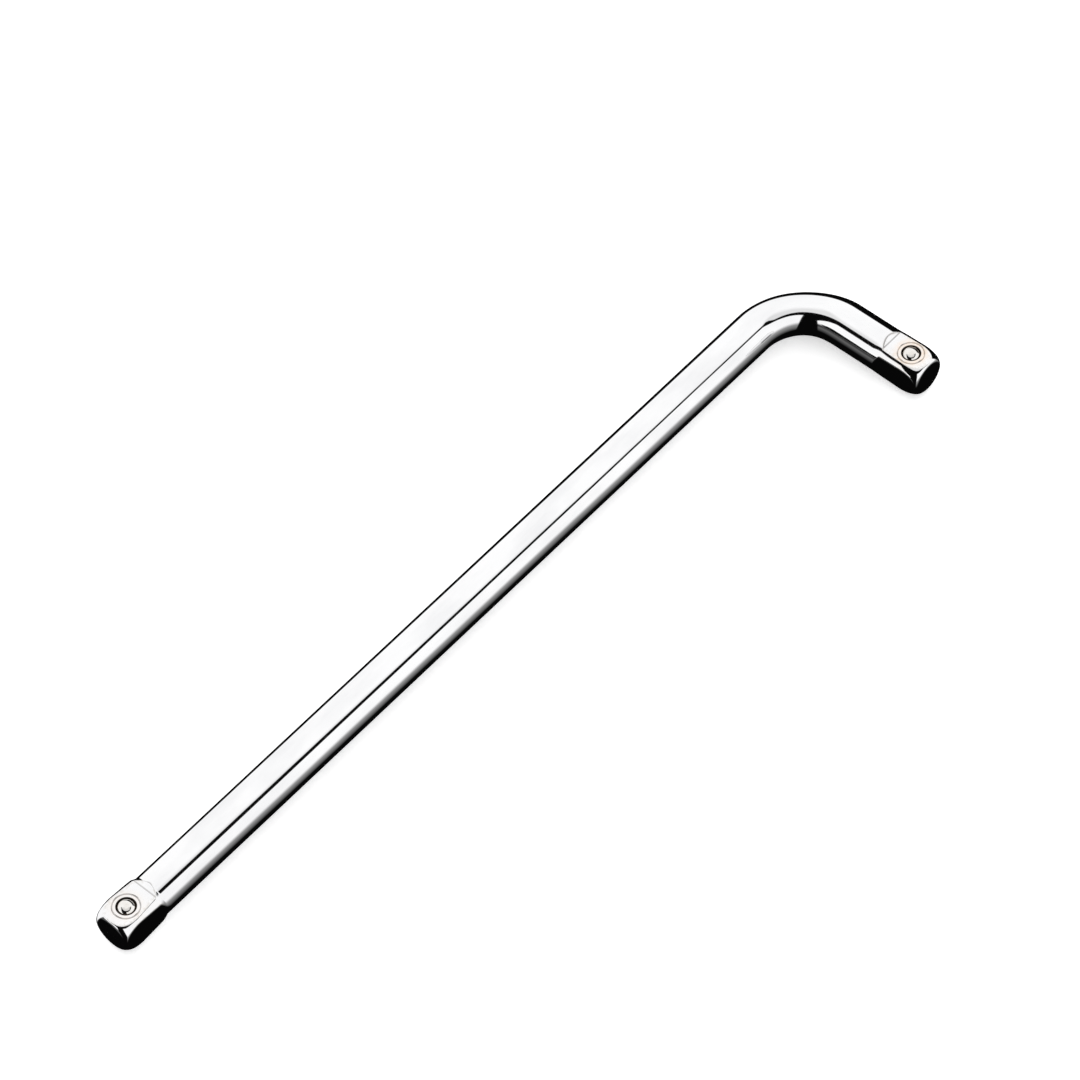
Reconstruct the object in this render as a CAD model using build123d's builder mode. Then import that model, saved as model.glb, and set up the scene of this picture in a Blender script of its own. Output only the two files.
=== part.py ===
from build123d import *
from math import sqrt, tan, radians
import os

# Double-ended L-shaped socket handle: one chrome bar with a 1/2 inch square drive
# forged on each end, and a spring-loaded ball in the upper flat of each drive.
# It lies flat: the long arm runs along +X from the middle of its end face at the
# origin, and the short arm turns towards -Y. +Z is up. Sizes in millimetres.

# Arms, measured along their axes from the point where the two axes meet
LONG_ARM = 310.6
SHORT_ARM = 53.3
ANGLE_BETWEEN_ARMS = 90.0
LONG_BAR_DIAMETER = 13.8
SHORT_BAR_DIAMETER = 15.1

# Bend: the round bar draws in a little in the plane of the bend
BEND_RADIUS = 21.2
BEND_WIDTH = 12.9
BEND_HEIGHT = 14.6

# Square drives, alike at both ends
SQUARE = 12.7
DRIVE_LENGTH = 14.9
CORNER_DIAMETER_AT_BAR = 15.4
CORNER_DIAMETER_AT_END = 16.4
END_FACE_DIAMETER = 10.8
NOSE_LENGTH = 6.5
SHOULDER_LENGTH = 1.8
LONG_RUN_OUT_ANGLE = 14.0
SHORT_RUN_OUT_ANGLE = 38.0

# Detent: ball, drilled hole with a staked mouth, and the groove the staking leaves
BALL_DIAMETER = 6.35
BALL_PROUD = 1.25
BALL_FROM_END = 7.15
HOLE_DIAMETER = 6.5
MOUTH_DIAMETER = 6.1
LIP_DEPTH = 0.95
LIP_SLOPE_DEPTH = 1.3
MOUTH_CHAMFER = 0.12
HOLE_DEPTH = 9.0
DRILL_POINT_ANGLE = 118.0
GROOVE_DIAMETER = 8.7
GROOVE_SECTION_DIAMETER = 0.7
GROOVE_DEPTH = 0.18

# Detent spring
SPRING_DIAMETER = 5.3
WIRE_DIAMETER = 0.6
SPRING_TURNS = 4.5
SPRING_SEAT_GAP = 0.05

# Worked out from the dimensions above
HALF_SQUARE = SQUARE / 2
BALL_RADIUS = BALL_DIAMETER / 2
UP = Vector(0, 0, 1)
CORNER = Vector(LONG_ARM, 0, 0)
LONG_INWARD = Vector(1, 0, 0)
SHORT_INWARD = Vector(1, 0, 0).rotate(Axis.Z, ANGLE_BETWEEN_ARMS)
BEND_TANGENT = BEND_RADIUS * tan(radians(180 - ANGLE_BETWEEN_ARMS) / 2)
ball_height = HALF_SQUARE + BALL_PROUD - BALL_RADIUS
hole_shoulder = HALF_SQUARE - HOLE_DEPTH
drill_tip = hole_shoulder - HOLE_DIAMETER / 2 / tan(radians(DRILL_POINT_ANGLE) / 2)
coil_radius = (SPRING_DIAMETER - WIRE_DIAMETER) / 2
coil_to_ball = BALL_RADIUS + WIRE_DIAMETER / 2 + SPRING_SEAT_GAP
coil_top = ball_height - sqrt(coil_to_ball**2 - coil_radius**2)
coil_bottom = hole_shoulder + WIRE_DIAMETER / 2 + SPRING_SEAT_GAP
EPS = 1.0


def arm_plane(end, inward):
    """Upright plane through an arm's axis: X runs inward from the end face, Y up."""
    return Plane(origin=end, x_dir=inward, z_dir=inward.cross(UP))


long_plane = arm_plane(CORNER - LONG_INWARD * LONG_ARM, LONG_INWARD)
short_plane = arm_plane(CORNER - SHORT_INWARD * SHORT_ARM, SHORT_INWARD)
# name, plane, bar diameter, length from the end face to the bend, slope where a flat ends
ARMS = (
    ("long", long_plane, LONG_BAR_DIAMETER, LONG_ARM - BEND_TANGENT, LONG_RUN_OUT_ANGLE),
    ("short", short_plane, SHORT_BAR_DIAMETER, SHORT_ARM - BEND_TANGENT, SHORT_RUN_OUT_ANGLE),
)

# One forging: two round arms with their square drives, and the bend between them
with BuildPart() as bent_bar:
    for name, plane, bar_diameter, straight, run_out_angle in ARMS:
        # Round blank of the arm, with the rounded nose and the swollen drive
        arm_axis = Axis(plane.origin, plane.x_dir)
        with BuildSketch(plane):
            with BuildLine():
                EllipticalCenterArc(
                    center=(NOSE_LENGTH, END_FACE_DIAMETER / 2),
                    x_radius=NOSE_LENGTH,
                    y_radius=(CORNER_DIAMETER_AT_END - END_FACE_DIAMETER) / 2,
                    start_angle=90,
                    arc_size=90,
                )
                Polyline(
                    (NOSE_LENGTH, CORNER_DIAMETER_AT_END / 2),
                    (DRIVE_LENGTH, CORNER_DIAMETER_AT_BAR / 2),
                    (DRIVE_LENGTH + SHOULDER_LENGTH, bar_diameter / 2),
                    (straight, bar_diameter / 2),
                    (straight, 0),
                    (0, 0),
                    (0, END_FACE_DIAMETER / 2),
                )
            make_face()
        revolve(axis=arm_axis)

        # Four flats, each running out on a slope into the round bar
        run_out_height = CORNER_DIAMETER_AT_END / 2 - HALF_SQUARE + EPS
        run_out_length = run_out_height / tan(radians(run_out_angle))
        for quarter in range(4):
            side_normal = plane.z_dir.rotate(arm_axis, 90 * quarter)
            with BuildSketch(Plane(plane.origin, x_dir=plane.x_dir, z_dir=side_normal)):
                with BuildLine():
                    Polyline(
                        (-EPS, HALF_SQUARE),
                        (DRIVE_LENGTH, HALF_SQUARE),
                        (DRIVE_LENGTH + run_out_length, HALF_SQUARE + run_out_height),
                        (-EPS, HALF_SQUARE + run_out_height),
                        close=True,
                    )
                make_face()
            extrude(amount=CORNER_DIAMETER_AT_END / 2, both=True, mode=Mode.SUBTRACT)

        # Ball hole, with the mouth closed in to a lip above the ball's middle
        ball_axis = Axis(plane.from_local_coords((BALL_FROM_END, 0, 0)), UP)
        with BuildSketch(plane):
            with BuildLine():
                Polyline(
                    (BALL_FROM_END, drill_tip),
                    (BALL_FROM_END + HOLE_DIAMETER / 2, hole_shoulder),
                    (BALL_FROM_END + HOLE_DIAMETER / 2, HALF_SQUARE - LIP_SLOPE_DEPTH),
                    (BALL_FROM_END + MOUTH_DIAMETER / 2, HALF_SQUARE - LIP_DEPTH),
                    (BALL_FROM_END + MOUTH_DIAMETER / 2, HALF_SQUARE - MOUTH_CHAMFER),
                    (BALL_FROM_END + MOUTH_DIAMETER / 2 + MOUTH_CHAMFER, HALF_SQUARE),
                    (BALL_FROM_END + MOUTH_DIAMETER / 2 + MOUTH_CHAMFER, HALF_SQUARE + EPS),
                    (BALL_FROM_END, HALF_SQUARE + EPS),
                    close=True,
                )
            make_face()
        revolve(axis=ball_axis, mode=Mode.SUBTRACT)

        # Ring groove pressed round the mouth to close it over the ball
        groove_height = HALF_SQUARE - GROOVE_DEPTH + GROOVE_SECTION_DIAMETER / 2
        with BuildSketch(plane):
            with Locations((BALL_FROM_END + GROOVE_DIAMETER / 2, groove_height)):
                Circle(GROOVE_SECTION_DIAMETER / 2)
        revolve(axis=ball_axis, mode=Mode.SUBTRACT)

    # Bend: a round section, then a narrowed one half way, then a larger round one
    bend_start = CORNER - LONG_INWARD * BEND_TANGENT
    with BuildLine() as bend_line:
        JernArc(
            start=bend_start,
            tangent=LONG_INWARD,
            radius=BEND_RADIUS,
            arc_size=ANGLE_BETWEEN_ARMS - 180,
        )
    for place, width, height in (
        (0.0, LONG_BAR_DIAMETER, LONG_BAR_DIAMETER),
        (0.5, BEND_WIDTH, BEND_HEIGHT),
        (1.0, SHORT_BAR_DIAMETER, SHORT_BAR_DIAMETER),
    ):
        section = Plane(bend_line.line @ place, x_dir=UP, z_dir=bend_line.line % place)
        with BuildSketch(section):
            Ellipse(height / 2, width / 2)
    sweep(path=bend_line.line, multisection=True)

bent_bar.part.label = "bent_bar"
os.makedirs("parts", exist_ok=True)
export_step(bent_bar.part, "parts/bent_bar.step")

for name, plane, bar_diameter, straight, run_out_angle in ARMS:
    # Steel ball, at rest against the staked lip
    ball_centre = plane.from_local_coords((BALL_FROM_END, ball_height, 0))
    with BuildPart(Plane(ball_centre)) as drive_ball:
        Sphere(BALL_RADIUS)
    drive_ball.part.label = name + "_drive_ball"
    export_step(drive_ball.part, "parts/" + drive_ball.part.label + ".step")

    # Compression spring from the shoulder of the hole to the underside of the ball
    coil_start = plane.from_local_coords((BALL_FROM_END, coil_bottom, 0))
    coil_height = coil_top - coil_bottom
    with BuildPart() as drive_spring:
        with BuildLine(Plane(coil_start)) as coil:
            Helix(coil_height / SPRING_TURNS, coil_height, coil_radius)
        with BuildSketch(Plane(coil.line @ 0, z_dir=coil.line % 0)):
            Circle(WIRE_DIAMETER / 2)
        sweep(path=coil.line, is_frenet=True)
    drive_spring.part.label = name + "_drive_spring"
    export_step(drive_spring.part, "parts/" + drive_spring.part.label + ".step")
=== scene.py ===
import math

import bmesh
import bpy
from mathutils import Matrix, Vector


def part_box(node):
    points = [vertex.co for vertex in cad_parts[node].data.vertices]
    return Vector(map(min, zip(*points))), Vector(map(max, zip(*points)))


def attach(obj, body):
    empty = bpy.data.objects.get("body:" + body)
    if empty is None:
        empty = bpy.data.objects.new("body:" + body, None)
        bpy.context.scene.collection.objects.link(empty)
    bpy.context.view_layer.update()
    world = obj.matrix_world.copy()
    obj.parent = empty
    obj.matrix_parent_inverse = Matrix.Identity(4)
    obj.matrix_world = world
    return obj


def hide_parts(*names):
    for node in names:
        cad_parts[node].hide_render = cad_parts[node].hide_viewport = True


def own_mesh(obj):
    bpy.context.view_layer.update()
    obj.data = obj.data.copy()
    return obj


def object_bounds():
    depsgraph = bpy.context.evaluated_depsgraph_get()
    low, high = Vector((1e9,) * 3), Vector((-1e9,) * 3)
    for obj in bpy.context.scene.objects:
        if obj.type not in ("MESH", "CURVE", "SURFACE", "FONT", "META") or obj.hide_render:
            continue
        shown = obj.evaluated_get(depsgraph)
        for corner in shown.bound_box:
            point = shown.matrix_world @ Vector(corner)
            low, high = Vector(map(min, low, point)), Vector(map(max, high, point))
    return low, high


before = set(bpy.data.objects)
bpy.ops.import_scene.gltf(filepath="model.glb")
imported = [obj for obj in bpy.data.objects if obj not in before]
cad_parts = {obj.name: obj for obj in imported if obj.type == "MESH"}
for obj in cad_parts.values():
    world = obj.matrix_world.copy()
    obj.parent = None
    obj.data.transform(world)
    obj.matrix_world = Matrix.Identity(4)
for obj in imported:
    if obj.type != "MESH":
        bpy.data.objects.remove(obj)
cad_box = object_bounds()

# Chrome L-handle with a square drive and a detent ball at each end.
# Lengths are in metres. The long arm runs along +X from the origin.
MM = 0.001
UP = Vector((0, 0, 1))
QUARTER = math.pi / 2

# Arms, from the point where their axes meet
LONG_ARM = 310.6 * MM
SHORT_ARM = 53.3 * MM
LONG_BAR_RADIUS = 6.895 * MM
SHORT_BAR_RADIUS = 7.55 * MM

# Bend: a quarter turn, where the bar draws in a little in the plane of the bend
BEND_RADIUS = 21.2 * MM
BEND_TURN = QUARTER
BEND_HALF_HEIGHT = 7.3 * MM
BEND_HALF_WIDTH = 6.45 * MM

# Square drives, each with a swollen corner, a rounded nose and a shoulder at the bar
HALF_SQUARE = 6.35 * MM
DRIVE_LENGTH = 14.9 * MM
CORNER_RADIUS_AT_BAR = 7.7 * MM
LONG_CORNER_RADIUS_AT_END = 8.2 * MM
SHORT_CORNER_RADIUS_AT_END = 7.85 * MM
END_FACE_RADIUS = 5.4 * MM
NOSE_LENGTH = 6.5 * MM
SHOULDER_LENGTH = 1.8 * MM
LONG_RUN_OUT_SLOPE = math.tan(math.radians(14.0))
SHORT_RUN_OUT_SLOPE = math.tan(math.radians(38.0))

# Widths over which two surfaces of a drive blend into each other
LONG_EDGE_BLEND = 0.3 * MM
SHORT_EDGE_BLEND = 0.22 * MM
SWELL_BLEND = 0.2 * MM
SHOULDER_FOOT_BLEND = 0.1 * MM
RUN_OUT_BLEND = 0.08 * MM

# Detent: ball, hole, and the ring groove staked round the mouth.
# A round patch of finer mesh carries the groove, and the flat is cleared a little wider.
BALL_FROM_END = 7.15 * MM
HOLE_RADIUS = 3.25 * MM
MOUTH_RADIUS = 3.05 * MM
LIP_DEPTH = 0.95 * MM
LIP_SLOPE_DEPTH = 1.3 * MM
MOUTH_ROUNDING = 0.15 * MM
HOLE_DEPTH = 9.0 * MM
DRILL_POINT_DEPTH = 1.95 * MM
GROOVE_RADIUS = 4.2 * MM
GROOVE_HALF_WIDTH = 0.33 * MM
GROOVE_DEPTH = 0.17 * MM
PATCH_RADIUS = 4.54 * MM
CLEARED_RADIUS = 4.82 * MM

# Detent spring
WIRE_RADIUS = 0.3 * MM
COIL_RADIUS = 2.35 * MM
CLOSED_TURNS = 1.0
OPEN_TURNS = 3.0
CLOSED_PITCH = 2 * WIRE_RADIUS * 1.04

# Mesh fineness
AROUND = 240
NOSE_STEP_DEGREES = 3
DRIVE_STEP = 0.35 * MM
RUN_OUT_STEP = 0.14 * MM
RUN_OUT_BEFORE = 0.8 * MM
RUN_OUT_AFTER = 6.0 * MM
BAR_STEP = 3.0 * MM
BEND_STEPS = 44
CAP_SHARES = (0.9, 0.6, 0.3)
PATCH_SEGMENTS = 128
PATCH_STEP = 0.06 * MM
MOUTH_STEP_DEGREES = 15
LIP_MIDDLE_DEPTH = 0.5 * MM
HOLE_MIDDLE_DEPTH = 5.0 * MM
HEIGHT_ROUNDS = 8
WIRE_SIDES = 12
WIRE_STEPS_PER_TURN = 40
BAR_SHARP_ANGLE = math.radians(38)
SPRING_SHARP_ANGLE = math.radians(50)


# ---------------------------------------------------------------- camera

CAMERA_AIM = Vector((185.8 * MM, -1.95 * MM, 0))
CAMERA_AZIMUTH = math.radians(-46.5)
CAMERA_ELEVATION = math.radians(53.46)
CAMERA_ROLL = math.radians(-2.92)
CAMERA_DISTANCE = 1.5274
CAMERA_LENS = 167.38
SENSOR_WIDTH = 36.0
CAMERA_CLIP_END = 20.0


def make_camera():
    """Long lens from the front left, looking down on the handle."""
    back = Vector((
        math.sin(CAMERA_AZIMUTH) * math.cos(CAMERA_ELEVATION),
        -math.cos(CAMERA_AZIMUTH) * math.cos(CAMERA_ELEVATION),
        math.sin(CAMERA_ELEVATION),
    ))
    right = (-back).cross(UP).normalized()
    level_up = right.cross(-back)
    rolled_right = right * math.cos(CAMERA_ROLL) + level_up * math.sin(CAMERA_ROLL)
    rolled_up = back.cross(rolled_right)
    data = bpy.data.cameras.new("camera")
    data.lens = CAMERA_LENS
    data.sensor_width = SENSOR_WIDTH
    data.clip_end = CAMERA_CLIP_END
    camera = bpy.data.objects.new("camera", data)
    turn = Matrix((rolled_right, rolled_up, back)).transposed()
    camera.matrix_world = Matrix.Translation(CAMERA_AIM + back * CAMERA_DISTANCE) @ turn.to_4x4()
    bpy.context.scene.collection.objects.link(camera)
    bpy.context.scene.camera = camera


make_camera()


# ---------------------------------------------------------------- shape of the bar

def soft_min(a, b, width):
    """The smaller of two lengths, with the corner between them rounded."""
    share = min(max(0.5 + 0.5 * (b - a) / width, 0.0), 1.0)
    return b + (a - b) * share - width * share * (1.0 - share)


def soft_max(a, b, width):
    """The larger of two lengths, with the corner between them rounded."""
    return -soft_min(-a, -b, width)


class Arm:
    """One straight arm with the square drive at its end; s is the distance from the end face."""

    def __init__(self, name, end, inward, bar_radius, straight, corner_radius, run_out_slope,
                 edge_blend):
        self.name = name
        self.end = end
        self.inward = inward
        self.side = inward.cross(UP)
        self.bar_radius = bar_radius
        self.straight = straight
        self.corner_radius = corner_radius
        self.run_out_slope = run_out_slope
        self.edge_blend = edge_blend

    def blank_radius(self, s):
        """Radius of the round blank at s, before the flats."""
        if s < NOSE_LENGTH:
            share = 1 - s / NOSE_LENGTH
            nose_height = self.corner_radius - END_FACE_RADIUS
            return END_FACE_RADIUS + nose_height * math.sqrt(max(1 - share * share, 0.0))
        swell_share = (s - NOSE_LENGTH) / (DRIVE_LENGTH - NOSE_LENGTH)
        swell = self.corner_radius + (CORNER_RADIUS_AT_BAR - self.corner_radius) * swell_share
        shoulder_share = (s - DRIVE_LENGTH) / SHOULDER_LENGTH
        shoulder = CORNER_RADIUS_AT_BAR + (self.bar_radius - CORNER_RADIUS_AT_BAR) * shoulder_share
        drive = soft_min(swell, shoulder, SWELL_BLEND)
        return soft_max(drive, self.bar_radius, SHOULDER_FOOT_BLEND)

    def flat_distance(self, s):
        """Distance of the four flats from the axis; past the drive they slope outward."""
        slope = HALF_SQUARE + (s - DRIVE_LENGTH) * self.run_out_slope
        return soft_max(HALF_SQUARE, slope, RUN_OUT_BLEND)

    def off_flat(self, angle):
        """Angle from the middle of the nearest flat."""
        return (angle + QUARTER / 2) % QUARTER - QUARTER / 2

    def radius(self, s, angle):
        """Distance from the axis to the surface; angle is from +Z, about the axis."""
        to_flat = self.flat_distance(s) / math.cos(self.off_flat(angle))
        return soft_min(to_flat, self.blank_radius(s), self.edge_blend)

    def top(self, s, across):
        """Height of the upper surface over the axis, at a place across the upper flat."""
        height = HALF_SQUARE
        for _ in range(HEIGHT_ROUNDS):
            reach = self.radius(s, math.atan2(across, height))
            height = math.sqrt(max(reach * reach - across * across, 0.0))
        return height

    def place(self, s, across, height):
        """Point in the frame from a distance inward, one across and one up."""
        return self.end + self.inward * s + self.side * across + UP * height


corner = Vector((LONG_ARM, 0, 0))
long_inward = Vector((1, 0, 0))
short_inward = Vector((0, 1, 0))
long_arm = Arm(
    "long", corner - long_inward * LONG_ARM, long_inward,
    LONG_BAR_RADIUS, LONG_ARM - BEND_RADIUS, LONG_CORNER_RADIUS_AT_END,
    LONG_RUN_OUT_SLOPE, LONG_EDGE_BLEND,
)
short_arm = Arm(
    "short", corner - short_inward * SHORT_ARM, short_inward,
    SHORT_BAR_RADIUS, SHORT_ARM - BEND_RADIUS, SHORT_CORNER_RADIUS_AT_END,
    SHORT_RUN_OUT_SLOPE, SHORT_EDGE_BLEND,
)


def spread(start, end, step):
    """Evenly spaced values from start towards, but not including, end."""
    count = max(1, round(abs(end - start) / step))
    return [start + (end - start) * i / count for i in range(count)]


def arm_rings(arm):
    """Rings of an arm from its end face to the bend, close together where the shape turns."""
    run_out_start = DRIVE_LENGTH - RUN_OUT_BEFORE
    run_out_end = DRIVE_LENGTH + RUN_OUT_AFTER
    turns = [math.radians(degrees) for degrees in range(0, 90, NOSE_STEP_DEGREES)]
    stations = [NOSE_LENGTH * (1 - math.cos(turn)) for turn in turns]
    stations += spread(NOSE_LENGTH, run_out_start, DRIVE_STEP)
    stations += spread(run_out_start, run_out_end, RUN_OUT_STEP)
    stations += spread(run_out_end, arm.straight, BAR_STEP)
    return [ring(arm, s) for s in stations]


def ring(arm, s):
    """One ring of points round an arm's axis. Both arms count round the same way."""
    points = []
    for i in range(AROUND):
        angle = 2 * math.pi * i / AROUND
        r = arm.radius(s, angle)
        sign = 1 if arm.name == "long" else -1
        points.append(arm.place(s, sign * r * math.sin(angle), r * math.cos(angle)))
    return points


def bend_rings():
    """Rings round the bend, from the long arm to the short one."""
    return [bend_ring(step / BEND_STEPS) for step in range(BEND_STEPS + 1)]


def bend_ring(share):
    """One oval ring of points at a share of the way round the bend."""
    centre = corner - long_inward * BEND_RADIUS + long_inward.cross(UP) * BEND_RADIUS
    turn = BEND_TURN * share
    out = Vector((math.sin(turn), math.cos(turn), 0))
    ovalness = math.sin(math.pi * share) ** 2
    ease = share * share * (3 - 2 * share)
    round_radius = LONG_BAR_RADIUS + (SHORT_BAR_RADIUS - LONG_BAR_RADIUS) * ease
    half_height = round_radius + (BEND_HALF_HEIGHT - round_radius) * ovalness
    half_width = round_radius + (BEND_HALF_WIDTH - round_radius) * ovalness
    middle = centre + out * BEND_RADIUS
    points = []
    for i in range(AROUND):
        angle = 2 * math.pi * i / AROUND
        across = half_width * math.sin(angle)
        points.append(middle - out * across + UP * half_height * math.cos(angle))
    return points


def join_loops(bm, loops):
    """Faces between each closed loop of points and the next one."""
    for near, far in zip(loops, loops[1:]):
        for i in range(len(near)):
            j = (i + 1) % len(near)
            bm.faces.new((near[i], near[j], far[j], far[i]))


def close_with_fan(bm, loop, centre):
    """Triangles from a closed loop of points to its centre."""
    hub = bm.verts.new(centre)
    for i in range(len(loop)):
        bm.faces.new((loop[i], loop[(i + 1) % len(loop)], hub))


def end_cap(bm, rim, centre):
    """Closes an arm's flat end face with rings that shrink to its centre."""
    rings = [rim]
    for share in CAP_SHARES:
        rings.append([bm.verts.new(centre + (v.co - centre) * share) for v in rim])
    join_loops(bm, rings)
    close_with_fan(bm, rings[-1], centre)


def groove_drop(reach):
    """Depth of the staked ring groove at a distance from the ball's axis."""
    off = abs(reach - GROOVE_RADIUS) / GROOVE_HALF_WIDTH
    if off >= 1:
        return 0.0
    return GROOVE_DEPTH * math.cos(off * math.pi / 2) ** 2


def detent_profile():
    """Section from the flat down the hole: (distance from the ball's axis, depth under the flat)."""
    outline = []
    for reach in spread(PATCH_RADIUS, MOUTH_RADIUS + MOUTH_ROUNDING, PATCH_STEP):
        outline.append((reach, groove_drop(reach)))
    for degrees in range(0, 91, MOUTH_STEP_DEGREES):
        turn = math.radians(degrees)
        reach = MOUTH_RADIUS + MOUTH_ROUNDING * (1 - math.sin(turn))
        outline.append((reach, MOUTH_ROUNDING * (1 - math.cos(turn))))
    outline += [
        (MOUTH_RADIUS, LIP_MIDDLE_DEPTH),
        (MOUTH_RADIUS, LIP_DEPTH),
        (HOLE_RADIUS, LIP_SLOPE_DEPTH),
        (HOLE_RADIUS, HOLE_MIDDLE_DEPTH),
        (HOLE_RADIUS, HOLE_DEPTH),
        (HOLE_RADIUS / 2, HOLE_DEPTH + DRILL_POINT_DEPTH / 2),
    ]
    return outline


def off_ball(arm, point):
    """Distance of a point from the axis of an arm's ball hole."""
    axis = arm.place(BALL_FROM_END, 0, 0)
    return math.hypot(point.x - axis.x, point.y - axis.y)


def detent_circle(arm, reach, depth):
    """Circle of points round the ball's axis, at a depth under the surface of the drive."""
    points = []
    for i in range(PATCH_SEGMENTS):
        angle = 2 * math.pi * i / PATCH_SEGMENTS
        s = BALL_FROM_END + reach * math.cos(angle)
        across = reach * math.sin(angle)
        points.append(arm.place(s, across, arm.top(s, across) - depth))
    return points


def cut_detent(bm, arm):
    """Replaces the middle of an upper flat with the groove, the mouth and the hole."""
    gone = []
    for face in bm.faces:
        middle = face.calc_center_median()
        if middle.z > 0 and off_ball(arm, middle) < CLEARED_RADIUS:
            gone.append(face)
    bmesh.ops.delete(bm, geom=gone, context="FACES")
    circles = []
    for reach, depth in detent_profile():
        circles.append([bm.verts.new(point) for point in detent_circle(arm, reach, depth)])
    join_loops(bm, circles)
    drill_tip = HALF_SQUARE - HOLE_DEPTH - DRILL_POINT_DEPTH
    close_with_fan(bm, circles[-1], arm.place(BALL_FROM_END, 0, drill_tip))
    rim = []
    for edge in bm.edges:
        if edge.is_boundary and off_ball(arm, edge.verts[0].co) < 2 * CLEARED_RADIUS:
            rim.append(edge)
    bmesh.ops.triangle_fill(bm, use_beauty=True, edges=rim, normal=UP)


def make_bar():
    """The forged bar: both arms, the bend, the end faces and the ball holes."""
    bm = bmesh.new()
    rings = arm_rings(long_arm) + bend_rings() + arm_rings(short_arm)[::-1]
    verts = [[bm.verts.new(point) for point in points] for points in rings]
    join_loops(bm, verts)
    end_cap(bm, verts[0], long_arm.end)
    end_cap(bm, verts[-1], short_arm.end)
    cut_detent(bm, long_arm)
    cut_detent(bm, short_arm)
    bmesh.ops.recalc_face_normals(bm, faces=bm.faces)
    mark_surface(bm)
    return to_object(bm, "bent_bar_chrome", BAR_SHARP_ANGLE)


def to_object(bm, name, sharp_angle):
    """Turns a bmesh into a smooth-shaded object with its hard edges kept."""
    mesh = bpy.data.meshes.new(name)
    bm.to_mesh(mesh)
    bm.free()
    mesh.shade_smooth()
    mesh.set_sharp_from_angle(angle=sharp_angle)
    piece = bpy.data.objects.new(name, mesh)
    bpy.context.scene.collection.objects.link(piece)
    return piece


# ---------------------------------------------------------------- springs

def spring_points(bottom, top):
    """Centre line of a compression spring with a closed turn at each end."""
    turns = 2 * CLOSED_TURNS + OPEN_TURNS
    steps = round(turns * WIRE_STEPS_PER_TURN)
    closed_rise = CLOSED_PITCH * CLOSED_TURNS
    open_rise = (top - bottom) - 2 * closed_rise
    points = []
    for step in range(steps + 1):
        turn = turns * step / steps
        opening = min(max((turn - CLOSED_TURNS) / OPEN_TURNS, 0.0), 1.0)
        closed = min(turn, CLOSED_TURNS) + max(turn - CLOSED_TURNS - OPEN_TURNS, 0.0)
        height = bottom + closed_rise * closed / CLOSED_TURNS + open_rise * opening
        angle = 2 * math.pi * turn
        points.append(Vector((COIL_RADIUS * math.cos(angle), COIL_RADIUS * math.sin(angle), height)))
    return points


def wire_section(point, tangent):
    """Offsets from the spring's centre line to the surface of the wire, round one section."""
    outward = Vector((point.x, point.y, 0)).normalized()
    upward = tangent.cross(outward).normalized()
    offsets = []
    for side in range(WIRE_SIDES):
        angle = 2 * math.pi * side / WIRE_SIDES
        offset = outward * math.cos(angle) + upward * math.sin(angle)
        offsets.append(offset * WIRE_RADIUS)
    return offsets


def make_spring(arm):
    """Coil spring under a ball: a wire swept along the centre line, cut off flat at both ends."""
    low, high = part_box(arm.name + "_drive_spring")
    middle = arm.place(BALL_FROM_END, 0, 0)
    points = spring_points(low.z + WIRE_RADIUS, high.z - WIRE_RADIUS)
    bm = bmesh.new()
    loops = []
    for index, point in enumerate(points):
        before = points[max(index - 1, 0)]
        after = points[min(index + 1, len(points) - 1)]
        section = wire_section(point, (after - before).normalized())
        loops.append([bm.verts.new(middle + point + offset) for offset in section])
    join_loops(bm, loops)
    bm.faces.new(loops[0])
    bm.faces.new(loops[-1])
    bmesh.ops.recalc_face_normals(bm, faces=bm.faces)
    return to_object(bm, arm.name + "_detent_spring", SPRING_SHARP_ANGLE)


# ---------------------------------------------------------------- surface finish
#
# The bar's mesh carries four values the materials read:
#   grain  (along the bar, across it, up), so that polishing marks follow the bend
#   wear   1 on the edges of the square drives, where sockets rub
#   stain  up to 1 round a ball, where the plating is tinted
#   painted shade, dark where shade falls: 1 inside a ball hole, less in the ring groove round it
#          and in the creases where a flat meets its run-out and where that meets the round bar

WEAR_WIDTH = 0.45 * MM
WEAR_PAST_DRIVE = 1.5 * MM
STAIN_REACH = 4.0 * MM
STAIN_WIDTH = 1.5 * MM
STAIN_LIMIT = 12.0 * MM
LONG_STAIN = 0.35
SHORT_STAIN = 1.0
# Painted shade: its strength in the ring groove, how far it fills the hole, and its strength and
# width in the creases
GROOVE_SHADE = 0.5
HOLE_WALL_REACH = 3.35 * MM
HOLE_SHADE_REACH = MOUTH_RADIUS + MOUTH_ROUNDING * 0.9
CREASE_SHADE = 0.5
CREASE_WIDTH = 0.2 * MM
CREASE_ZONE = 4.0 * MM
SHOULDER_SLOPE = 0.4


def grain_place(point):
    """Place of a point along the bar, across it and up, carried round the bend."""
    straight = LONG_ARM - BEND_RADIUS
    if point.x < straight:
        return Vector((point.x, point.y, point.z))
    bend_length = BEND_RADIUS * BEND_TURN
    if point.y < -BEND_RADIUS:
        past_bend = straight + bend_length - BEND_RADIUS - point.y
        return Vector((past_bend, point.x - LONG_ARM, point.z))
    away = Vector((point.x - straight, point.y + BEND_RADIUS))
    turn = math.atan2(away.x, away.y)
    return Vector((straight + BEND_RADIUS * turn, away.length - BEND_RADIUS, point.z))


def edge_wear(arm, point):
    """How near a point of a drive is to the edge between a flat and the rounded corner, 0 to 1."""
    s = (point - arm.end).dot(arm.inward)
    if s > DRIVE_LENGTH + WEAR_PAST_DRIVE:
        return 0.0
    across = (point - arm.end).dot(arm.side)
    off_flat = arm.off_flat(math.atan2(across, point.z))
    step = abs(arm.flat_distance(s) / math.cos(off_flat) - arm.blank_radius(s))
    return math.exp(-(step / WEAR_WIDTH) ** 2)


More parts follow.
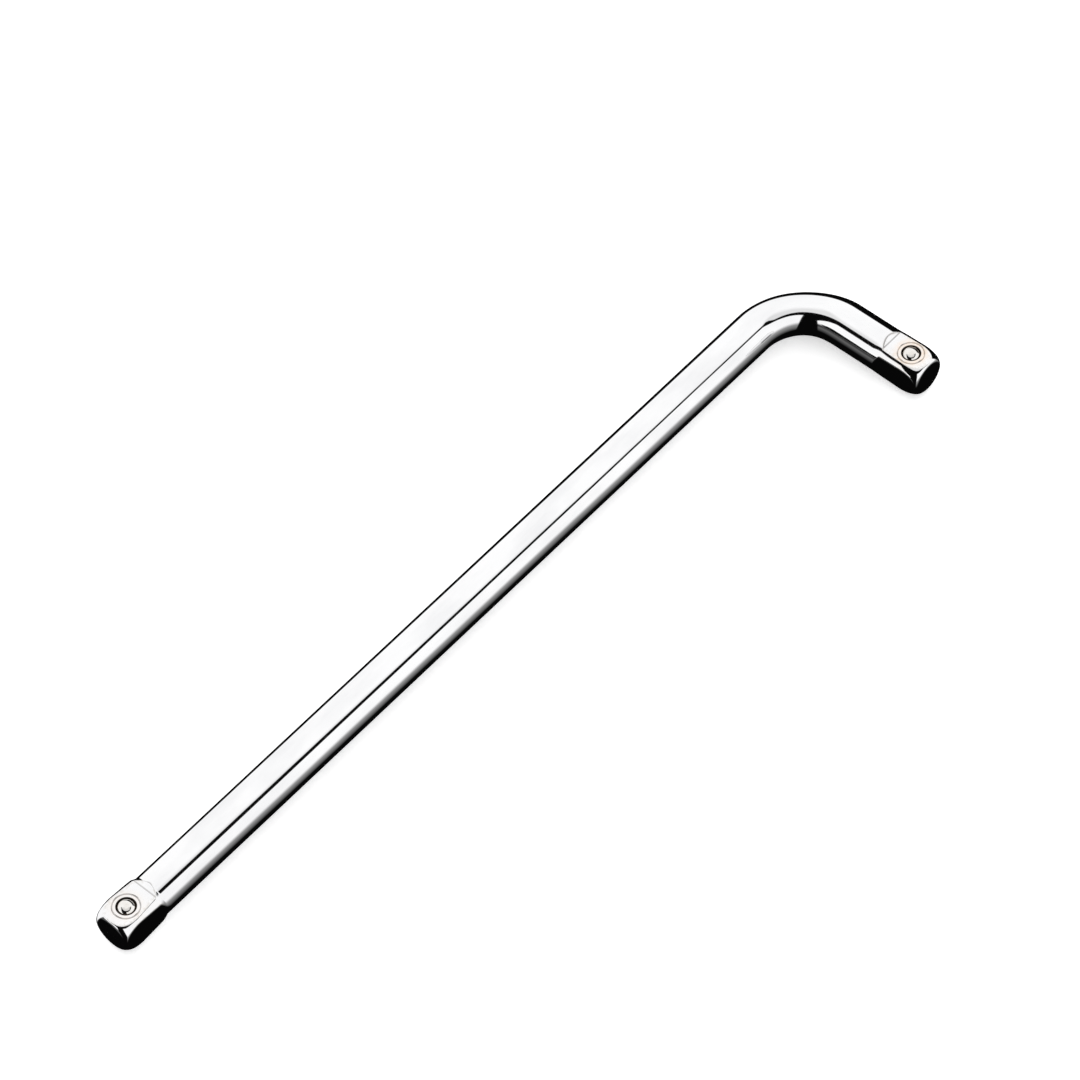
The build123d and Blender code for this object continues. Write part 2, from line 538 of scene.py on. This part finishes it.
def crease_shade(arm, point):
    """Thin lines of painted shade across a drive where its flats start to slope and end."""
    s = (point - arm.end).dot(arm.inward)
    across = (point - arm.end).dot(arm.side)
    if abs(s - DRIVE_LENGTH) > CREASE_ZONE or abs(across) > arm.bar_radius or point.z < 0:
        return 0.0
    blank = max(arm.bar_radius, CORNER_RADIUS_AT_BAR - (s - DRIVE_LENGTH) * SHOULDER_SLOPE)
    rise = math.sqrt(max(blank * blank - across * across, 0.0)) - HALF_SQUARE
    if rise < 0:
        return 0.0
    lines = (DRIVE_LENGTH, DRIVE_LENGTH + rise / arm.run_out_slope)
    return CREASE_SHADE * max(math.exp(-((s - line) / CREASE_WIDTH) ** 2) for line in lines)


def mark_surface(bm):
    """Writes grain, wear, stain and painted shade on every vertex of the bar."""
    grain = bm.verts.layers.float_vector.new("grain")
    wear = bm.verts.layers.float.new("wear")
    stain = bm.verts.layers.float.new("stain")
    painted_shade = bm.verts.layers.float.new("painted_shade")
    for vert in bm.verts:
        vert[grain] = grain_place(vert.co)
        for arm, strength in ((long_arm, LONG_STAIN), (short_arm, SHORT_STAIN)):
            vert[wear] = max(vert[wear], edge_wear(arm, vert.co))
            # Painted shade lines across the creases of each drive
            vert[painted_shade] = max(vert[painted_shade], crease_shade(arm, vert.co))
            reach = off_ball(arm, vert.co)
            if vert.co.z < 0 and reach > HOLE_WALL_REACH:
                continue
            if reach < STAIN_LIMIT:
                tint = strength * math.exp(-((reach - STAIN_REACH) / STAIN_WIDTH) ** 2)
                vert[stain] = max(vert[stain], tint)
            # Painted shade: full inside the hole's mouth, fading out over the ring groove
            if reach < HOLE_SHADE_REACH:
                vert[painted_shade] = 1.0
            elif reach < PATCH_RADIUS:
                vert[painted_shade] = GROOVE_SHADE * groove_drop(reach) / GROOVE_DEPTH


# ---------------------------------------------------------------- materials

class NodeTree:
    """Short calls for the nodes that the materials and the studio share."""

    def __init__(self, tree):
        self.nodes = tree.nodes
        self.links = tree.links

    def put(self, value, socket):
        """Links an output, or sets a plain value, on an input socket."""
        if isinstance(value, bpy.types.NodeSocket):
            self.links.new(value, socket)
        else:
            socket.default_value = value

    def calc(self, operation, *values):
        """Math node on outputs or plain numbers."""
        node = self.nodes.new("ShaderNodeMath")
        node.operation = operation
        for value, socket in zip(values, node.inputs):
            self.put(value, socket)
        return node.outputs[0]


class NodeMaterial(NodeTree):
    """A node material with short calls for the nodes its finish needs."""

    def __init__(self, name):
        self.material = bpy.data.materials.new(name)
        self.material.use_nodes = True
        super().__init__(self.material.node_tree)
        self.shader = self.nodes["Principled BSDF"]

    def attribute(self, name, output):
        node = self.nodes.new("ShaderNodeAttribute")
        node.attribute_name = name
        return node.outputs[output]

    def object_place(self):
        return self.nodes.new("ShaderNodeTexCoord").outputs["Object"]

    def noise(self, place, stretch, detail):
        """Noise from 0 to 1; stretch is how many features per metre along each axis."""
        mapping = self.nodes.new("ShaderNodeMapping")
        mapping.inputs["Scale"].default_value = stretch
        self.links.new(place, mapping.inputs["Vector"])
        texture = self.nodes.new("ShaderNodeTexNoise")
        texture.inputs["Scale"].default_value = 1.0
        texture.inputs["Detail"].default_value = detail
        self.links.new(mapping.outputs["Vector"], texture.inputs["Vector"])
        return texture.outputs["Fac"]

    def remap(self, value, low, high, new_low, new_high):
        """Maps low to new_low and high to new_high, and holds still beyond them."""
        node = self.nodes.new("ShaderNodeMapRange")
        node.inputs["From Min"].default_value = low
        node.inputs["From Max"].default_value = high
        node.inputs["To Min"].default_value = new_low
        node.inputs["To Max"].default_value = new_high
        self.links.new(value, node.inputs["Value"])
        return node.outputs["Result"]

    def blend(self, share, start, end):
        """Mixes two colours, start where share is 0 and end where it is 1."""
        node = self.nodes.new("ShaderNodeMix")
        node.data_type = "RGBA"
        self.put(share, node.inputs["Factor"])
        self.put(start, node.inputs[6])
        self.put(end, node.inputs[7])
        return node.outputs[2]

    def bump(self, height, depth, under=None):
        """Bump of a depth in metres, on top of an earlier bump if one is given."""
        node = self.nodes.new("ShaderNodeBump")
        node.inputs["Strength"].default_value = 1.0
        node.inputs["Distance"].default_value = depth
        self.links.new(height, node.inputs["Height"])
        if under is not None:
            self.links.new(under, node.inputs["Normal"])
        return node.outputs["Normal"]

    def finish(self, colour, roughness, normal, metallic):
        self.put(colour, self.shader.inputs["Base Color"])
        self.put(roughness, self.shader.inputs["Roughness"])
        self.links.new(normal, self.shader.inputs["Normal"])
        self.shader.inputs["Metallic"].default_value = metallic
        return self.material


WAVE_DEPTH = 0.012 * MM
POLISH_DEPTH = 0.0004 * MM
SCRATCH_DEPTH = 0.0005 * MM
RUB_DEPTH = 0.0004 * MM
DRAWING_DEPTH = 0.004 * MM
FLOOR_GRAIN_DEPTH = 0.02 * MM

CHROME = (0.88, 0.88, 0.885, 1)
HAZED_CHROME = (0.80, 0.80, 0.81, 1)
WORN_NICKEL = (0.66, 0.63, 0.58, 1)
WARM_TINT = (0.90, 0.66, 0.44, 1)
# Colour of the painted shade in the ball holes, the ring grooves and the creases
HOLE_PAINTED_SHADE = (0.09, 0.072, 0.058, 1)
BALL_BRIGHT = (0.86, 0.85, 0.83, 1)
BALL_BROWN = (0.76, 0.73, 0.69, 1)
WIRE_GREY = (0.42, 0.40, 0.38, 1)
WIRE_OILED = (0.24, 0.21, 0.18, 1)
FLOOR_PALE = (0.93, 0.93, 0.93, 1)
FLOOR_SHADE = (0.90, 0.90, 0.90, 1)
WHITE = (1, 1, 1, 1)
FLOOR_GLOW = 0.55


def chrome_material():
    """Bright chrome: faint waviness, polishing marks along the bar, worn edges, a tint round the
    holes, painted shade in the holes, grooves and creases.
    """
    m = NodeMaterial("bar_chrome")
    grain = m.attribute("grain", "Vector")
    haze = m.noise(grain, (45, 130, 130), 4.0)
    polish = m.noise(grain, (60, 2600, 2600), 3.0)
    scratches = m.remap(m.noise(grain, (18, 1500, 1500), 2.0), 0.66, 0.76, 0.0, 1.0)
    speckle = m.noise(grain, (900, 900, 900), 2.0)
    chips = m.remap(speckle, 0.42, 0.62, 0.0, 1.0)
    worn = m.calc("MULTIPLY", m.attribute("wear", "Fac"), chips)
    stain = m.calc("MULTIPLY", m.attribute("stain", "Fac"), m.remap(speckle, 0.3, 0.7, 0.35, 1.0))
    painted_shade = m.attribute("painted_shade", "Fac")

    colour = m.blend(m.remap(haze, 0.4, 0.7, 0.0, 1.0), CHROME, HAZED_CHROME)
    colour = m.blend(m.calc("MULTIPLY", worn, 0.5), colour, WORN_NICKEL)
    colour = m.blend(m.calc("MULTIPLY", stain, 0.55), colour, WARM_TINT)
    # Painted shade: darkens the ball holes, the ring grooves and the creases, where shade falls
    colour = m.blend(painted_shade, colour, HOLE_PAINTED_SHADE)
    roughness = m.remap(polish, 0.3, 0.7, 0.03, 0.075)
    roughness = m.calc("ADD", roughness, m.calc("MULTIPLY", scratches, 0.05))
    roughness = m.calc("ADD", roughness, m.calc("MULTIPLY", worn, 0.12))
    roughness = m.calc("ADD", roughness, m.calc("MULTIPLY", painted_shade, 0.4))
    wavy = m.bump(haze, WAVE_DEPTH)
    brushed = m.bump(polish, POLISH_DEPTH, wavy)
    marked = m.bump(scratches, SCRATCH_DEPTH, brushed)
    return m.finish(colour, roughness, marked, 1.0)


def ball_material():
    """Polished bearing steel, a little brown, with fine rub marks."""
    m = NodeMaterial("ball_steel")
    place = m.object_place()
    rub = m.noise(place, (500, 2400, 2400), 3.0)
    tone = m.noise(place, (300, 300, 300), 3.0)
    colour = m.blend(m.remap(tone, 0.35, 0.65, 0.0, 1.0), BALL_BRIGHT, BALL_BROWN)
    roughness = m.remap(rub, 0.3, 0.7, 0.04, 0.12)
    return m.finish(colour, roughness, m.bump(rub, RUB_DEPTH), 1.0)


def spring_material():
    """Drawn spring wire: dull grey with drawing marks and a film of oil."""
    m = NodeMaterial("spring_steel")
    place = m.object_place()
    oil = m.noise(place, (700, 700, 700), 3.0)
    drawn = m.noise(place, (4000, 4000, 9000), 2.0)
    colour = m.blend(m.remap(oil, 0.35, 0.65, 0.0, 1.0), WIRE_GREY, WIRE_OILED)
    roughness = m.remap(drawn, 0.3, 0.7, 0.22, 0.42)
    return m.finish(colour, roughness, m.bump(drawn, DRAWING_DEPTH), 1.0)


def floor_material():
    """White matt board on a light table, with a very faint unevenness."""
    m = NodeMaterial("pale_floor")
    place = m.object_place()
    mottle = m.noise(place, (12, 12, 12), 4.0)
    fine_grain = m.noise(place, (400, 400, 400), 3.0)
    colour = m.blend(m.remap(mottle, 0.3, 0.7, 0.0, 1.0), FLOOR_PALE, FLOOR_SHADE)
    m.shader.inputs["Emission Color"].default_value = WHITE
    m.shader.inputs["Emission Strength"].default_value = FLOOR_GLOW
    roughness = m.remap(mottle, 0.3, 0.7, 0.75, 0.9)
    return m.finish(colour, roughness, m.bump(fine_grain, FLOOR_GRAIN_DEPTH), 0.0)


# ---------------------------------------------------------------- studio

FLOOR_RADIUS = 4.0
FLOOR_SEGMENTS = 96


def make_floor(height):
    """Plain pale floor under the handle. The chrome doesn't reflect it."""
    bm = bmesh.new()
    bmesh.ops.create_circle(bm, cap_ends=True, segments=FLOOR_SEGMENTS, radius=FLOOR_RADIUS)
    mesh = bpy.data.meshes.new("floor")
    bm.to_mesh(mesh)
    bm.free()
    floor = bpy.data.objects.new("floor", mesh)
    floor.location.z = height
    bpy.context.scene.collection.objects.link(floor)
    floor.data.materials.append(floor_material())
    floor.visible_glossy = False


# Studio round the handle, by direction: x, y and height are the parts of a unit direction.
# An edge is where a box starts, a softness is half the width of that edge's blur.
FAR_SIDE = (0.707, 0.707, 0.0)
FAR_SIDE_START = 0.15
FAR_SIDE_SOFTNESS = 0.05

# A large box hangs overhead, its near edge bowed up where x is about 0.3. Below the dimming
# top, the box is a little dimmer on the near side. On the far side it runs down to the horizon.
TOP_BOX_EDGE = 0.72
TOP_BOX_SOFTNESS = 0.012
TOP_BOX_BOW = 0.08
TOP_BOX_BOW_ALONG_X = [(0.14, 0.0), (0.28, 1.0), (0.36, 1.0), (0.47, 0.0)]
FAR_BOX_EDGE = -0.56
FAR_BOX_SOFTNESS = 0.03
FAR_BOX_SLANT = 1.0
TOP_BOX_STRENGTH = 1.12
TOP_BOX_DIMMING = 0.26
DIMMING_TOP = 0.93
DIMMING_TOP_SOFTNESS = 0.06
DIMMING_END = -0.03
DIMMING_END_SOFTNESS = 0.1

# Two smaller boxes stand left and right of the camera, under the edge of the large one
BOX_SIDE_SOFTNESS = 0.03
RIGHT_BOX_SIDE = (0.750, -0.614, 0.246)
RIGHT_BOX_TOP = 0.583
RIGHT_BOX_TOP_SOFTNESS = 0.012
RIGHT_BOX_SLANT = 0.13
RIGHT_BOX_END = 0.42
RIGHT_BOX_END_SOFTNESS = 0.05
LEFT_BOX_SIDE = (-0.075, 0.984, 0.159)
LEFT_BOX_TOP = 0.26
LEFT_BOX_TOP_SOFTNESS = 0.015
LEFT_BOX_SLANT = 0.62

# Level runs from straight down (0) over the horizon (0.5) to straight up (1). Each small box
# has its full strength above its foot and a dim skirt below, which fades out downwards.
# The left skirt has a darker gap next to the box.
SMALL_BOX_STRENGTH = 1.12
RIGHT_BOX_FOOT = 0.395
RIGHT_BOX_FOOT_SOFTNESS = 0.085
RIGHT_SKIRT_STRENGTH = 0.3
RIGHT_SKIRT_BOTTOM = 0.13
RIGHT_SKIRT_TOP = 0.31
LEFT_BOX_FOOT = 0.47
LEFT_BOX_FOOT_SOFTNESS = 0.05
LEFT_SKIRT_STRENGTH = 0.13
LEFT_SKIRT_BOTTOM = 0.17
LEFT_SKIRT_TOP = 0.32
LEFT_GAP_EDGE = 0.36
LEFT_GAP_SOFTNESS = 0.045
LEFT_GAP_DIMMING = 0.65
DARK_ROOM = 0.0025
BACKDROP_STRENGTH = 1.1


class Studio(NodeTree):
    """Soft studio light by direction: one large white box and two small ones, dark between them."""

    def __init__(self, tree):
        super().__init__(tree)
        self.direction = self.nodes.new("ShaderNodeTexCoord").outputs["Generated"]
        split = self.nodes.new("ShaderNodeSeparateXYZ")
        self.links.new(self.direction, split.inputs[0])
        self.x, self.y, self.height = split.outputs
        self.far = self.towards(FAR_SIDE)
        self.far_side = self.step(self.far, FAR_SIDE_START, FAR_SIDE_SOFTNESS)

    def step(self, value, edge, softness):
        """0 below an edge and 1 above it."""
        node = self.nodes.new("ShaderNodeMapRange")
        node.interpolation_type = "SMOOTHSTEP"
        node.inputs["From Min"].default_value = edge - softness
        node.inputs["From Max"].default_value = edge + softness
        self.links.new(value, node.inputs["Value"])
        return node.outputs["Result"]

    def step_down(self, value, edge, softness):
        """1 below an edge and 0 above it."""
        return self.calc("SUBTRACT", 1.0, self.step(value, edge, softness))

    def ramp(self, value, stops):
        """Brightness that runs through (place, brightness) stops."""
        node = self.nodes.new("ShaderNodeValToRGB")
        self.links.new(value, node.inputs["Fac"])
        points = node.color_ramp.elements
        while len(points) < len(stops):
            points.new(0.5)
        for point, (place, brightness) in zip(points, stops):
            point.position = place
            point.color = (brightness, brightness, brightness, 1)
        return node.outputs["Color"]

    def towards(self, normal):
        """How far the direction points along a normal, -1 to 1."""
        node = self.nodes.new("ShaderNodeVectorMath")
        node.operation = "DOT_PRODUCT"
        node.inputs[1].default_value = normal
        self.links.new(self.direction, node.inputs[0])
        return node.outputs["Value"]

    def skirt(self, level, strength, bottom, top):
        """Dim light that rises evenly from nothing at the bottom to its strength at the top."""
        node = self.nodes.new("ShaderNodeMapRange")
        node.inputs["From Min"].default_value = bottom
        node.inputs["From Max"].default_value = top
        node.inputs["To Max"].default_value = strength
        self.links.new(level, node.inputs["Value"])
        return node.outputs["Result"]

    def above_foot(self, level, foot, softness, skirt):
        """A box's strength above its foot, and the light of its skirt below."""
        box = self.step(level, foot, softness)
        gain = self.calc("SUBTRACT", SMALL_BOX_STRENGTH, skirt)
        return self.calc("MULTIPLY_ADD", box, gain, skirt)

    def overhead(self):
        """The large box: bowed near edge overhead, slanted edge down on the far side."""
        bow = self.ramp(self.x, TOP_BOX_BOW_ALONG_X)
        near_edge = self.calc("MULTIPLY_ADD", bow, -TOP_BOX_BOW, self.height)
        top_box = self.step(near_edge, TOP_BOX_EDGE, TOP_BOX_SOFTNESS)
        far_edge = self.calc("MULTIPLY_ADD", self.x, -FAR_BOX_SLANT, self.height)
        far_box = self.step(far_edge, FAR_BOX_EDGE, FAR_BOX_SOFTNESS)
        far_box = self.calc("MULTIPLY", far_box, self.far_side)
        box = self.calc("MAXIMUM", top_box, far_box)
        under_top = self.step_down(self.height, DIMMING_TOP, DIMMING_TOP_SOFTNESS)
        near = self.step_down(self.far, DIMMING_END, DIMMING_END_SOFTNESS)
        dimmed = self.calc("MULTIPLY", under_top, near)
        strength = self.calc("MULTIPLY_ADD", dimmed, -TOP_BOX_DIMMING, TOP_BOX_STRENGTH)
        return self.calc("MULTIPLY", box, strength)

    def right_box(self, level):
        """The small box right of the camera, carried on round to the far side."""
        top = self.calc("MULTIPLY_ADD", self.x, -RIGHT_BOX_SLANT, self.height)
        under_top = self.step_down(top, RIGHT_BOX_TOP, RIGHT_BOX_TOP_SOFTNESS)
        side = self.step(self.towards(RIGHT_BOX_SIDE), 0.0, BOX_SIDE_SOFTNESS)
        box = self.calc("MULTIPLY", side, under_top)
        end = self.step_down(self.far, RIGHT_BOX_END, RIGHT_BOX_END_SOFTNESS)
        box = self.calc("MULTIPLY", box, end)
        skirt = self.skirt(level, RIGHT_SKIRT_STRENGTH, RIGHT_SKIRT_BOTTOM, RIGHT_SKIRT_TOP)
        light = self.above_foot(level, RIGHT_BOX_FOOT, RIGHT_BOX_FOOT_SOFTNESS, skirt)
        return self.calc("MULTIPLY", box, light)

    def left_box(self, level):
        """The small box left of the camera."""
        top = self.calc("MULTIPLY_ADD", self.y, -LEFT_BOX_SLANT, self.height)
        under_top = self.step_down(top, LEFT_BOX_TOP, LEFT_BOX_TOP_SOFTNESS)
        side = self.step(self.towards(LEFT_BOX_SIDE), 0.0, BOX_SIDE_SOFTNESS)
        box = self.calc("MULTIPLY", side, under_top)
        box = self.calc("MULTIPLY", box, self.calc("SUBTRACT", 1.0, self.far_side))
        skirt = self.skirt(level, LEFT_SKIRT_STRENGTH, LEFT_SKIRT_BOTTOM, LEFT_SKIRT_TOP)
        gap = self.step(level, LEFT_GAP_EDGE, LEFT_GAP_SOFTNESS)
        skirt = self.calc("MULTIPLY", skirt, self.calc("MULTIPLY_ADD", gap, -LEFT_GAP_DIMMING, 1.0))
        light = self.above_foot(level, LEFT_BOX_FOOT, LEFT_BOX_FOOT_SOFTNESS, skirt)
        return self.calc("MULTIPLY", box, light)

    def light(self):
        """All three boxes, and the little light of the room."""
        level = self.calc("MULTIPLY_ADD", self.height, 0.5, 0.5)
        small_boxes = self.calc("MAXIMUM", self.right_box(level), self.left_box(level))
        boxes = self.calc("MAXIMUM", self.overhead(), small_boxes)
        return self.calc("ADD", boxes, DARK_ROOM)


def make_world():
    """Lights the handle from the studio; seen directly, the surroundings are plain white."""
    world = bpy.data.worlds.new("studio")
    bpy.context.scene.world = world
    world.use_nodes = True
    studio = Studio(world.node_tree)
    seen = studio.nodes.new("ShaderNodeLightPath").outputs["Is Camera Ray"]
    pick = studio.nodes.new("ShaderNodeMix")
    pick.data_type = "FLOAT"
    studio.put(seen, pick.inputs[0])
    studio.put(studio.light(), pick.inputs[2])
    studio.put(BACKDROP_STRENGTH, pick.inputs[3])
    background = studio.nodes["Background"]
    studio.put(WHITE, background.inputs["Color"])
    studio.put(pick.outputs[0], background.inputs["Strength"])


# ---------------------------------------------------------------- assembly

bar = make_bar()
bar.data.materials.append(chrome_material())
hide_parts("bent_bar")
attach(bar, "bar")

ball_finish = ball_material()
spring_finish = spring_material()
for arm in (long_arm, short_arm):
    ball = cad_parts[arm.name + "_drive_ball"]
    ball.data.materials.clear()
    ball.data.materials.append(ball_finish)

    spring_node = arm.name + "_drive_spring"
    spring_low, spring_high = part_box(spring_node)
    spring = make_spring(arm)
    spring.data.materials.append(spring_finish)
    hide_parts(spring_node)
    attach(spring, "bar")
    seat = arm.place(BALL_FROM_END, 0, spring_low.z)
    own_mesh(spring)

make_floor(cad_box[0].z)
make_world()
bpy.context.scene.view_settings.view_transform = "Standard"
